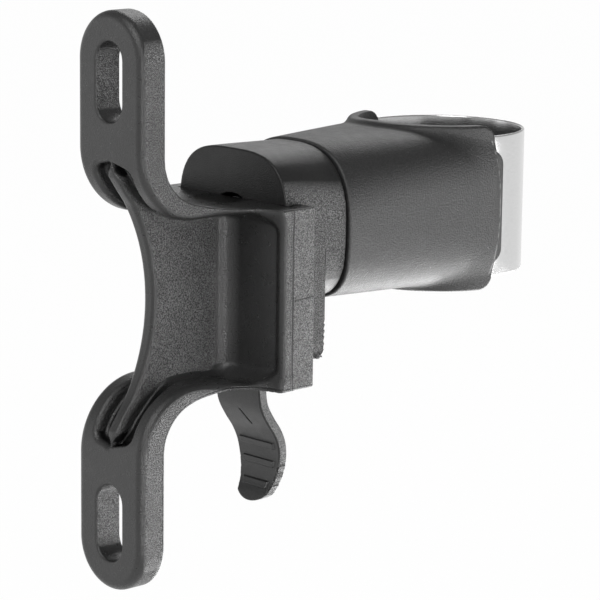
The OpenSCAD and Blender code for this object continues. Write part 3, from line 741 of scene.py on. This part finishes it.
def steel_band():
    """A strip with rounded edges, which narrows towards its turned ends."""
    path = band_path()
    along = np.gradient(path, axis=0)
    along /= np.linalg.norm(along, axis=1)[:, None]
    out = np.stack([along[:, 1], -along[:, 0]], 1)
    half = BAND_END + (BAND_HALF - BAND_END) * np.clip((path[:, 1] - NARROW_Y) / NARROW_L, 0, 1)
    edge = BAND_T / 2
    arc = np.linspace(-math.pi / 2, math.pi / 2, EDGE_STEPS)
    top = [(edge * math.cos(a) - edge, edge * math.sin(a)) for a in arc]
    flat = np.linspace(1, -1, FLAT_STEPS)[1:-1]
    rings = []
    for place, side, h in zip(path, out, half):
        ring = [(s, h + d) for d, s in top[::-1]]
        ring += [(-edge, h * f) for f in flat]
        ring += [(s, -h - d) for d, s in top]
        ring += [(edge, h * f) for f in flat[::-1]]
        rings.append([(*(place + side * s), z) for s, z in ring])
    count = len(rings[0])
    points = np.array(rings).reshape(-1, 3)
    faces = []
    for i in range(len(rings) - 1):
        here, there = i * count, (i + 1) * count
        for j in range(count):
            k = (j + 1) % count
            faces.append((here + j, here + k, there + k, there + j))
    piece = mesh_piece("steel_band_strip", points, np.array(faces))
    dress(piece, rolled_steel("band_steel", 0.62, 0.2, (1.0, 1.0, 14.0), 0.000004))
    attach(piece, "clamp")
    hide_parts("steel_band")


# Values kept at the bracket's and the block's vertices, for lines and shades in their finishes

def parting_line(x, y, z):
    """Distance to the moulding line near the rear edge of the lower lug, far away elsewhere."""
    u, v = y + REACH, z + AXIS_DROP
    return np.where((v < -8) & (np.abs(x) > 4), -turn_rear(u, np.abs(v)) - 0.55, FAR)


def pocket_shade_depth(x, y, z):
    """Depth below the lug's front inside the pockets beside the web, zero elsewhere, which sets the painted
    shade in the pockets.
    """
    av = np.abs(z + AXIS_DROP)
    depth = -turn_front(y + REACH, av)
    return np.where((np.abs(x) < 4.3) & (av < 21.2) & (depth < 2.8), depth, 0.0)


def side_line(place):
    """Distance to a moulding line down the plate's sides, at a place behind its front."""
    return lambda x, y, z: np.where(np.abs(x) > PLATE_W / 2 - 0.2, y + REACH - PLATE_Y - place, FAR)


def witness(x, y, z):
    """Distance to the short scratch across the plate's right side."""
    on_side = (x > PLATE_W / 2 - 0.2) & (y + REACH > PLATE_Y + 2)
    return np.where(on_side, z + AXIS_DROP - 0.1 - 0.05 * (y + REACH - PLATE_Y - 3.2), FAR)


def torn_edge(x, y, z):
    """One at the tail's torn lower end, falling to nothing a millimetre above it."""
    return np.where((z < -16.5) & (y > BLOCK_FRONT + 5), 1 - (z - tail_end(x, y)), 0.0)


# The pieces

# The pocket shade on the bracket is painted shade, darker the deeper the pockets go
bracket_finish = grained_plastic(
    "bracket_grain", 0.019, 0.1, 0.3, 0.0006,
    [("parting", 0.1, 0.3), ("side_seam", 0.24, 0.03), ("faint_seam", 0.1, 0.5), ("scratch", 0.14, 0.1)],
    [("pocket", 0.05, 0.9, 0.03)])
block_finish = grained_plastic(
    "block_grain", 0.01, 0.08, 0.32, 0.0005, shades=[("torn", 0.2, 0.6, 0.02)], gloss_level=0.28)
lever_finish = grained_plastic(
    "lever_grain", 0.026, 0.12, 0.4, 0.0002, [("mark", 0.2, 0.02), ("front_edge", 0.16, 0.1)])
rubber_finish = soft_rubber("sleeve_rubber", 0.014, 0.46)

moulded("bracket_moulding", "cage_bracket", "clamp", bracket,
        (-15.4, -68.4, -51.8), (15.4, -40.3, 33.8), 0.3, bracket_finish, {
            "parting": parting_line, "side_seam": side_line(1.7), "faint_seam": side_line(1.25),
            "scratch": witness, "pocket": pocket_shade_depth,
        })
moulded("clamp_block_moulding", "clamp_body", "clamp", block,
        (-12.6, -44.8, -20.4), (12.6, -16.8, 12.4), 0.3, block_finish, {"torn": torn_edge})
moulded("sleeve_moulding", "rubber_sleeve", "clamp", sleeve,
        (-15.6, -32, -13.6), (15.6, 1, 13.6), 0.31, rubber_finish, {"painted_end_highlight": painted_end_highlight})
moulded("lever_moulding", "release_lever", "lever", lever,
        (-5.2, -46.2, -43.6), (5.2, -33, -7.4), 0.13, lever_finish,
        {"mark": cut_mark, "front_edge": front_edge})
steel_band()

zinc_plate = rolled_steel("zinc_plate", 0.6, 0.35, (1.0, 6.0, 1.0), 0.000006)
spring_steel = rolled_steel("spring_steel", 0.55, 0.25, (8.0, 1.0, 1.0), 0.000003)
cast_zinc = rolled_steel("cast_zinc", 0.45, 0.5, (1.0, 1.0, 1.0), 0.00003)
for node, made in (
    ("tension_screw", zinc_plate), ("screw_washer", zinc_plate), ("band_pin_left", zinc_plate),
    ("band_pin_right", zinc_plate), ("lever_pin", zinc_plate), ("lever_spring", spring_steel),
    ("pull_block", cast_zinc),
):
    dress(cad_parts[node], made)


# Camera, fitted to points measured in the photo

AZIMUTH, ELEVATION, ROLL = (math.radians(angle) for angle in (45.99, 11.333, -0.716))
CAMERA_DISTANCE, SHIFT_RIGHT, SHIFT_UP = 426.8, 5.625, -2.885
AIM_DEPTH = 30                              # the point looked at, behind the lugs' front
FOCAL_PX, FRAME_PX = 2857.4, 600


def camera():
    aim = Vector((0, AIM_DEPTH - REACH, -AXIS_DROP))
    back = Vector((math.sin(AZIMUTH) * math.cos(ELEVATION), -math.cos(AZIMUTH) * math.cos(ELEVATION),
                   math.sin(ELEVATION)))
    right = Vector((math.cos(AZIMUTH), math.sin(AZIMUTH), 0))
    up = back.cross(right)
    place = aim + back * CAMERA_DISTANCE + right * SHIFT_RIGHT + up * SHIFT_UP
    turned_right = right * math.cos(ROLL) - up * math.sin(ROLL)
    turned_up = right * math.sin(ROLL) + up * math.cos(ROLL)
    data = bpy.data.cameras.new("camera")
    data.sensor_width = 36
    data.lens = FOCAL_PX / FRAME_PX * data.sensor_width
    data.clip_start = 0.01
    made = bpy.data.objects.new("camera", data)
    made.matrix_world = Matrix((
        (turned_right.x, turned_up.x, back.x, place.x * MM),
        (turned_right.y, turned_up.y, back.y, place.y * MM),
        (turned_right.z, turned_up.z, back.z, place.z * MM),
        (0, 0, 0, 1),
    ))
    bpy.context.scene.collection.objects.link(made)
    bpy.context.scene.camera = made


# The studio

WORLD_LIGHT = 0.45
FLOOR_GLOW = 0.985
FLOOR_Z, FLOOR_HALF = -120, 2000            # millimetres
MIDDLE = (0, -0.035, -0.009)
# Name, place, point looked at, size and power in watts
LAMPS = [
    ("right_back", (0.42, 0.13, -0.1), MIDDLE, (0.22, 0.18), 1.3),
    ("table", (0.045, 0.12, -0.115), (0.045, 0.12, 0.5), (0.2, 0.2), 0.9),
    ("high_back", (-0.28, 0.33, 0.33), MIDDLE, (0.25, 0.2), 0.5),
    ("front_left", (-0.45, -0.45, 0.05), MIDDLE, (0.5, 0.5), 0.35),
    ("front_right", (0.41, -0.29, -0.05), MIDDLE, (0.05, 0.16), 0.85),
    ("above", (0.15, -0.42, 0.4), MIDDLE, (0.35, 0.35), 1.8),
]


def area_light(name, place, aim, size, power):
    """A soft lamp, out of the camera's sight."""
    data = bpy.data.lights.new(name, "AREA")
    data.shape = "RECTANGLE"
    data.size, data.size_y = size
    data.energy = power
    made = bpy.data.objects.new(name, data)
    made.location = place
    made.rotation_euler = (Vector(aim) - Vector(place)).to_track_quat("-Z", "Y").to_euler()
    made.visible_camera = False
    bpy.context.scene.collection.objects.link(made)


def seen_directly(tree):
    """One for rays that show the backdrop itself, straight, mirrored or through something."""
    path = tree.nodes.new("ShaderNodeLightPath")
    seen = maths(tree, "MAXIMUM", path.outputs["Is Camera Ray"], path.outputs["Is Transmission Ray"])
    return maths(tree, "MAXIMUM", seen, path.outputs["Is Glossy Ray"])


def backdrop_world():
    """White where it is seen, and softer as a light."""
    world = bpy.data.worlds.new("studio")
    bpy.context.scene.world = world
    world.use_nodes = True
    tree = world.node_tree
    tree.nodes.clear()
    out = tree.nodes.new("ShaderNodeOutputWorld")
    ground = tree.nodes.new("ShaderNodeBackground")
    ground.inputs["Color"].default_value = (1, 1, 1, 1)
    # The studio is darker overhead than round the pale sweep
    place = tree.nodes.new("ShaderNodeTexCoord")
    split = tree.nodes.new("ShaderNodeSeparateXYZ")
    tree.links.new(place.outputs["Generated"], split.inputs["Vector"])
    white = map_range(tree, split.outputs["Z"], 0.0, 0.3, 1.0, 0.35)
    mixed = map_range(tree, seen_directly(tree), 0, 1, WORLD_LIGHT, 1.0)
    tree.links.new(maths(tree, "MULTIPLY", white, mixed), ground.inputs["Strength"])
    tree.links.new(ground.outputs["Background"], out.inputs["Surface"])


def floor():
    """Pale floor well below the part, which hangs from the tube that it is clamped to."""
    corners = np.array([(x, y, FLOOR_Z) for x, y in ((-1, -1), (1, -1), (1, 1), (-1, 1))], float)
    corners[:, :2] *= FLOOR_HALF
    piece = mesh_piece("floor", corners, np.array([[0, 1, 2, 3]]))
    made, tree, shader = material("floor_paper")
    shade = map_range(tree, noise(tree, 40, 2), 0.3, 0.7, 0.86, 0.9)
    tree.links.new(grey(tree, shade), shader.inputs["Base Color"])
    shader.inputs["Roughness"].default_value = 0.8
    glow = tree.nodes.new("ShaderNodeEmission")
    mix = tree.nodes.new("ShaderNodeMixShader")
    tree.links.new(maths(tree, "MULTIPLY", seen_directly(tree), FLOOR_GLOW), mix.inputs["Fac"])
    tree.links.new(shader.outputs["BSDF"], mix.inputs[1])
    tree.links.new(glow.outputs["Emission"], mix.inputs[2])
    out = [node for node in tree.nodes if node.type == "OUTPUT_MATERIAL"][0]
    tree.links.new(mix.outputs["Shader"], out.inputs["Surface"])
    dress(piece, made)


def studio():
    bpy.context.scene.view_settings.view_transform = "Standard"
    backdrop_world()
    floor()
    for lamp in LAMPS:
        area_light(*lamp)


camera()
studio()
